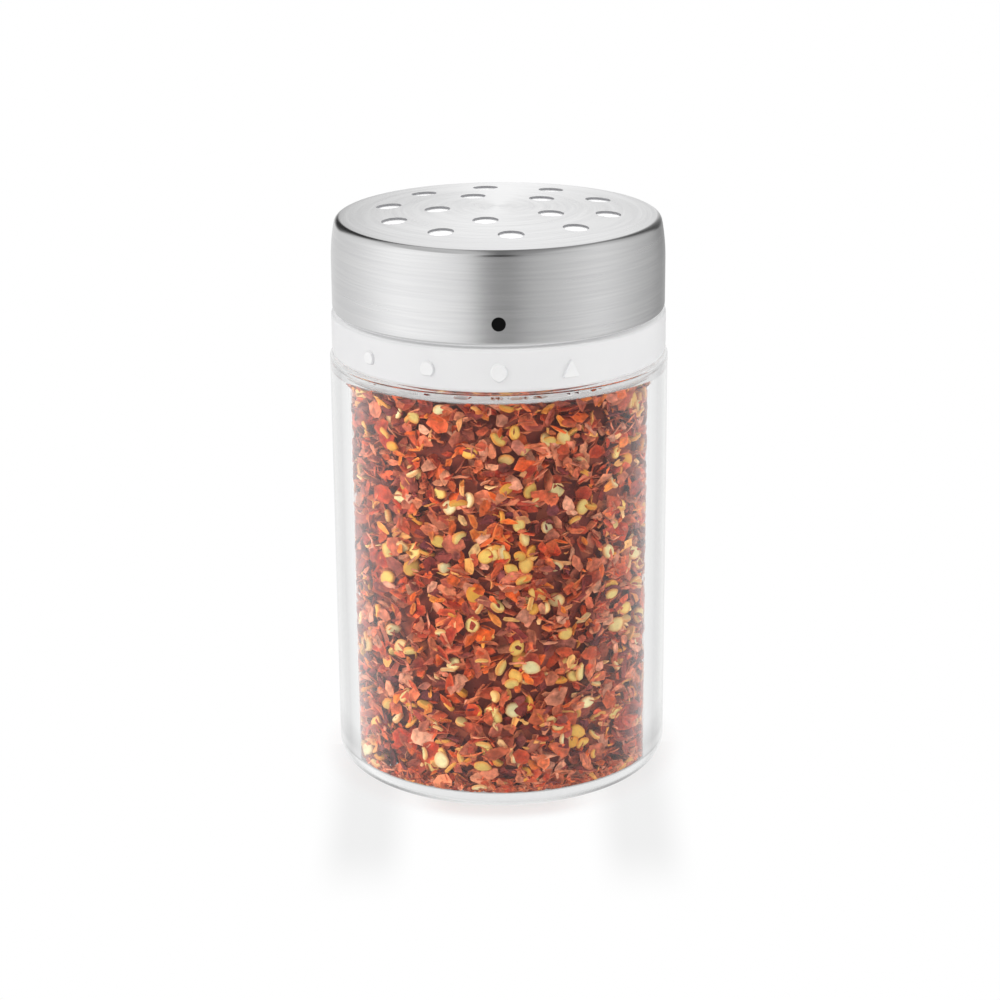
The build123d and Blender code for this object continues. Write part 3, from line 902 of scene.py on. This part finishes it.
def make_cap(material, edge_material):
    outer, inner = upper_wall(0.0), upper_wall(SHEET)
    points, triangles, rings = perforated(outer[0][0], hole_centres(), HOLE_RADIUS + HOLE_BEVEL)
    vertices, faces = [], []
    for inset in (0.0, SHEET):
        start = len(vertices)
        vertices.extend((x, y, crown_height(hypot(x, y), inset)) for x, y in points)
        faces.extend([start + i for i in triangle] for triangle in triangles)
    narrowed = HOLE_RADIUS / (HOLE_RADIUS + HOLE_BEVEL)
    for (hx, hy), ring in zip(hole_centres(), rings):
        loops = [ring]
        for inset in (HOLE_BEVEL, SHEET - HOLE_BEVEL):
            start = len(vertices)
            for i in ring:
                x, y = hx + (points[i][0] - hx) * narrowed, hy + (points[i][1] - hy) * narrowed
                vertices.append((x, y, crown_height(hypot(x, y), inset)))
            loops.append(list(range(start, start + len(ring))))
        loops.append([len(points) + i for i in ring])
        for upper, lower in zip(loops, loops[1:]):
            faces.extend(bridge(upper, lower))
    sheared = range(2 * len(triangles), len(faces))
    lower = rounded([
        (CAP_RADIUS, WALL_BOW_LOW, 0),
        (CAP_RADIUS, CAP_BOTTOM, HEM),
        (CAP_RADIUS - HEM, CAP_BOTTOM, 0),
        (CAP_RADIUS - HEM, CAP_BOTTOM + SHEET, 0),
        (CAP_RADIUS - SHEET, CAP_BOTTOM + SHEET, HEM - SHEET - HEM_EASE),
        (CAP_RADIUS - SHEET, WALL_BOW_LOW, 0),
    ])
    side_vertices, side_faces = turned(outer + lower + inner[::-1], closed=False)
    start = len(vertices)
    vertices.extend(side_vertices)
    faces.extend([start + i for i in face] for face in side_faces)
    piece = make_piece("steel_shell", vertices, faces, material, "cap", "steel_cap", weld=WELD)
    piece.data.materials.append(edge_material)
    for number in sheared:
        piece.data.polygons[number].material_index = 1


def enamel_material():
    """Glossy black of the index dot, with a faint orange-peel surface."""
    n, where = new_material("black_dot")
    peel = n.noise(where, 2500, detail=1.0)
    return n.output(n.principled({
        "Base Color": n.ramp(peel, [(0.3, srgb(6, 6, 7)), (0.7, srgb(11, 11, 12))]),
        "Roughness": 0.45,
        "Specular IOR Level": 0.12,
        "Normal": n.bump(peel, 0.00001, 0.3),
    }))


def plain_material(name, tone, roughness):
    """One colour with a faint cloud in it."""
    n, where = new_material(name)
    cloud = n.noise(where, 900)
    colour = n.mix(cloud, srgb(*tone), srgb(*[min(255, c + 6) for c in tone]))
    return n.output(n.principled({"Base Color": colour, "Roughness": roughness}))


def gasket_material():
    """Soft milky silicone."""
    n, where = new_material("silicone")
    cloud = n.noise(where, 900)
    return n.output(n.principled({
        "Base Color": n.ramp(cloud, [(0.3, srgb(226, 226, 224)), (0.7, srgb(236, 236, 234))]),
        "Roughness": 0.6,
        "Normal": n.bump(cloud, 0.00002, 0.3),
    }))


def dress(node, material):
    """Gives a carried-over CAD node its material."""
    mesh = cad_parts[node].data
    mesh.materials.clear()
    mesh.materials.append(material)


# Stage and light

# The world's level for matt surfaces, for what steel mirrors from below, and for the glass's cards
WORLD_LEVEL, UNDER_LEVEL, CARD_LEVEL = 0.6, 0.6, 4.0
FLOOR_REACH = 3000
# What a ray meets beyond the glass is dimmer once it has been mirrored: the floor, between two
# distances ahead of the jar, and the world, by how far the ray heads for the camera's side
VEIL_CUT, VEIL_FLOOR, VEIL_WORLD = 0.9, (35, 60), (0.3, 0.85)
# The shadow round the foot ends between two radii. What is left of the light at the foot differs
# between the front and the sides.
SHADOW_REACH, SHADOW_ASIDE, SHADOW_GLOW = (30, 34.5), (8, 18), (0.45, 0.85)
# A painted reflection of each side lies in front of it as a faint darker sheen: its middle, its fade
# across and along, and its depth
SHEEN_PLACE, SHEEN_WIDTH, SHEEN_LENGTH, SHEEN_DEPTH = 23.8, (2, 9.5), (42, 66), 0.125
# The floor as glass shows it, painted levels by distance from the jar's axis as a share of the reach,
# with painted shade under the foot ring
UNDER_JAR_REACH, UNDER_JAR = 40, ((0.54, 1.0), (0.62, 0.3), (0.76, 0.1), (0.84, 0.7), (1.0, 1.0))


def veil(n, path, share):
    """How bright white looks: cut by share for a ray that has been mirrored on its way."""
    mirrored = n.math("MINIMUM", path["Glossy Depth"], 1.0)
    return n.math("SUBTRACT", 1.0, n.times(n.times(mirrored, share), VEIL_CUT))


def floor_material():
    """White sweep: the camera sees it nearly shadeless, with a contact shadow round the jar and a
    faint painted reflection of its sides in front. Through glass it shows painted shade, darkest
    under the foot ring."""
    n, where = new_material("floor")
    path = n.add("LightPath").outputs
    x, y, _ = n.split(where)
    away = n.length(where)
    paper = n.noise(where, 400)
    matt = n.add("BsdfDiffuse", {0: grey(0.95), "Normal": n.bump(paper, 0.00002, 0.1)}).outputs[0]
    # Painted reflection of the jar's sides: darker bands on the floor ahead of it.
    across = n.math("ABSOLUTE", x)
    ahead = n.times(y, -1.0)
    aside = n.math("ABSOLUTE", n.math("SUBTRACT", across, SHEEN_PLACE * MM))
    width = n.map_range(aside, *metres(*SHEEN_WIDTH), SHEEN_DEPTH, 0.0, smooth=True)
    length = n.map_range(ahead, *metres(*SHEEN_LENGTH), 1.0, 0.0, smooth=True)
    front = n.math("GREATER_THAN", ahead, 0.0)
    sheen = n.times(n.times(width, length), front)
    bright = n.emission(grey(1.0), n.math("SUBTRACT", 1.0, sheen))
    least = n.map_range(across, *metres(*SHADOW_ASIDE), *SHADOW_GLOW, smooth=True)
    glow = n.map_range(away, *metres(*SHADOW_REACH), least, 1.0, smooth=True)
    seen = n.blend(n.times(path["Is Camera Ray"], glow), matt, bright)
    # Painted shade: the floor seen through glass darkens under the foot ring.
    beneath = n.ramp(n.math("DIVIDE", away, UNDER_JAR_REACH * MM), UNDER_JAR)
    level = veil(n, path, n.map_range(ahead, *metres(*VEIL_FLOOR), smooth=True))
    through = n.emission(beneath, level)
    return n.output(n.blend(path["Is Transmission Ray"], seen, through))


def make_floor():
    reach = FLOOR_REACH * MM
    mesh = bpy.data.meshes.new("floor")
    mesh.from_pydata([(-reach, -reach, 0), (reach, -reach, 0), (reach, reach, 0), (-reach, reach, 0)],
                     [], [(0, 1, 2, 3)])
    mesh.materials.append(floor_material())
    floor = add_object("floor", mesh)
    floor.visible_glossy = False


# What steel mirrors, as (turn, level) near the horizon and higher up. The camera's side is at turn
# 0.5, the left at 0.25, the right at 0.75.
LOW_STUDIO = (
    (0.0, 0.85), (0.06, 0.8), (0.12, 0.68), (0.2, 0.75), (0.3, 1.05), (0.42, 0.88), (0.458, 0.79),
    (0.466, 0.24), (0.535, 0.21), (0.545, 0.46), (0.6, 0.545), (0.7, 0.81), (0.8, 0.52),
    (0.86, 0.43), (0.9, 0.31), (0.94, 0.4), (1.0, 0.85),
)
HIGH_STUDIO = (
    (0.0, 1.04), (0.012, 0.95), (0.026, 0.45), (0.038, 0.04), (0.06, 0.02), (0.095, 0.05), (0.11, 0.14),
    (0.13, 0.45), (0.15, 0.62), (0.18, 0.72), (0.25, 0.78), (0.28, 0.95), (0.36, 0.95), (0.4, 0.85),
    (0.44, 0.7), (0.462, 0.45), (0.472, 0.08), (0.5, 0.03), (0.53, 0.05), (0.545, 0.3), (0.6, 0.46),
    (0.65, 0.55), (0.71, 0.75), (0.76, 0.68), (0.81, 0.5), (0.85, 0.38), (0.88, 0.12), (0.9, 0.05),
    (0.945, 0.2), (0.96, 0.5), (0.982, 0.95), (1.0, 1.04),
)
# What it mirrors overhead, from left to right
OVERHEAD = (
    (0.3, 0.5), (0.34, 0.58), (0.39, 0.55), (0.435, 0.5), (0.47, 0.25), (0.5, 0.08), (0.53, 0.15),
    (0.565, 0.25), (0.66, 0.3), (0.71, 0.4), (0.785, 0.6),
)
# What clear glass mirrors, by turn, as a share of CARD_LEVEL
GLASS_CARDS = (
    (0.07, 0.22), (0.095, 0.16), (0.12, 0.09), (0.15, 0.2), (0.17, 0.32), (0.19, 0.46),
    (0.22, 0.37), (0.27, 0.2), (0.33, 0.1), (0.42, 0.05), (0.5, 0.02), (0.62, 0.02), (0.74, 0.08),
    (0.8, 0.22), (0.84, 0.17), (0.88, 0.07), (0.905, 0.14), (0.93, 0.22),
)
# How far up a direction points where the underside, the low and the high studio and the overhead
# pass into each other
UNDER_TO_LOW, LOW_TO_HIGH, HIGH_TO_OVER = (-0.75, -0.5), (0.12, 0.42), (0.6, 0.8)
# Behind the jar, some turn away from the camera's side, the high studio hangs lower: by one amount
# on the left and another on the right
BEHIND, LEFT_TO_RIGHT, BEHIND_LIFT = (0.36, 0.4), (0.4, 0.6), (0.26, 0.4)


def make_world():
    """White to the eye and through glass; a studio of soft boxes and dark gaps in reflections."""
    n = Nodes(bpy.data.worlds.new("studio"))
    x, y, z = n.split(n.add("TexCoord").outputs["Generated"])
    ahead = n.times(y, -1.0)
    turn = n.math("ADD", n.math("DIVIDE", n.math("ARCTAN2", x, ahead), 2 * pi), 0.5)
    lift = n.map_range(turn, *LEFT_TO_RIGHT, *BEHIND_LIFT)
    from_front = n.math("ABSOLUTE", n.math("SUBTRACT", turn, 0.5))
    raised = n.math("ADD", z, n.map_range(from_front, *BEHIND, 0.0, lift, smooth=True))
    low = n.mix(n.map_range(z, *UNDER_TO_LOW, smooth=True), grey(UNDER_LEVEL), n.ramp(turn, LOW_STUDIO))
    walls = n.mix(n.map_range(raised, *LOW_TO_HIGH, smooth=True), low, n.ramp(turn, HIGH_STUDIO))
    over = n.ramp(n.map_range(x, -1.0, 1.0), OVERHEAD)
    studio = n.mix(n.map_range(z, *HIGH_TO_OVER, smooth=True), walls, over)
    cards = n.mix(1.0, n.ramp(turn, GLASS_CARDS), grey(CARD_LEVEL), "MULTIPLY")
    path = n.add("LightPath").outputs
    seen = n.math("MAXIMUM", path["Is Camera Ray"], path["Is Transmission Ray"])
    mirrored = n.mix(path["Is Singular Ray"], studio, cards)
    level = n.mix(path["Is Glossy Ray"], grey(WORLD_LEVEL), mirrored)
    white = veil(n, path, n.map_range(ahead, *VEIL_WORLD, smooth=True))
    level = n.mix(seen, level, n.join(white, white, white))
    background = n.add("Background", {0: level, 1: 1.0}).outputs[0]
    bpy.context.scene.world = n.output(background)


def make_lamp(name, place, size, power, lit=None):
    """A soft box aimed at the middle of the jar. Where lit is given, it lights those pieces alone."""
    data = bpy.data.lights.new(name, "AREA")
    data.shape, data.size, data.energy = "SQUARE", size, power
    lamp = add_object(name, data)
    lamp.location = place
    aim = Vector((0, 0, CAMERA_AIM_HEIGHT * MM)) - Vector(place)
    lamp.rotation_mode = "QUATERNION"
    lamp.rotation_quaternion = aim.to_track_quat("-Z", "Y")
    lamp.visible_camera = False
    lamp.visible_glossy = False
    lamp.visible_transmission = False
    if lit:
        lamp.light_linking.receiver_collection = lit


LAMPS = (
    ("key", (-0.75, -0.45, 0.75), 0.5, 3.3),
    ("fill", (0.95, -0.25, 0.5), 0.6, 2.8),
    ("top", (0.1, 0.3, 1.1), 0.6, 2.0),
)
CONTENTS_LAMPS = (
    ("left", (-0.95, -0.35, 0.2), 0.5, 6.3),
    ("right", (0.8, -0.6, 0.2), 0.5, 1.0),
)

make_camera()
make_world()
make_floor()
make_jar()
chili = make_chili()
for lamp in LAMPS:
    make_lamp(*lamp)
contents = bpy.data.collections.new("contents")
for piece in chili:
    contents.objects.link(piece)
for lamp in CONTENTS_LAMPS:
    make_lamp(*lamp, contents)
collar_white = plastic_material("white_plastic", *COLLAR_PAINTED_GLOW)
make_collar(collar_white)
# The signs' faces carry a painted highlight and their right and lower sides painted shade.
make_marks(collar_white, plain_material("mark_face_painted_light", (247, 247, 247), 0.4),
           plain_material("mark_painted_shade", (224, 224, 226), 0.5))
make_cap(steel_material(), plain_material("sheared_edge", (140, 140, 143), 0.6))
spout_white = plastic_material("spout_plastic", *SPOUT_PAINTED_GLOW)
dress("cap_liner", spout_white)
dress("selector_plate", spout_white)
dress("rim_gasket", gasket_material())
dress("index_dot", enamel_material())

scene = bpy.context.scene
scene.view_settings.view_transform = "Standard"
scene.cycles.max_bounces = GLASS_BOUNCES
scene.cycles.glossy_bounces = GLASS_BOUNCES
scene.cycles.transmission_bounces = GLASS_BOUNCES
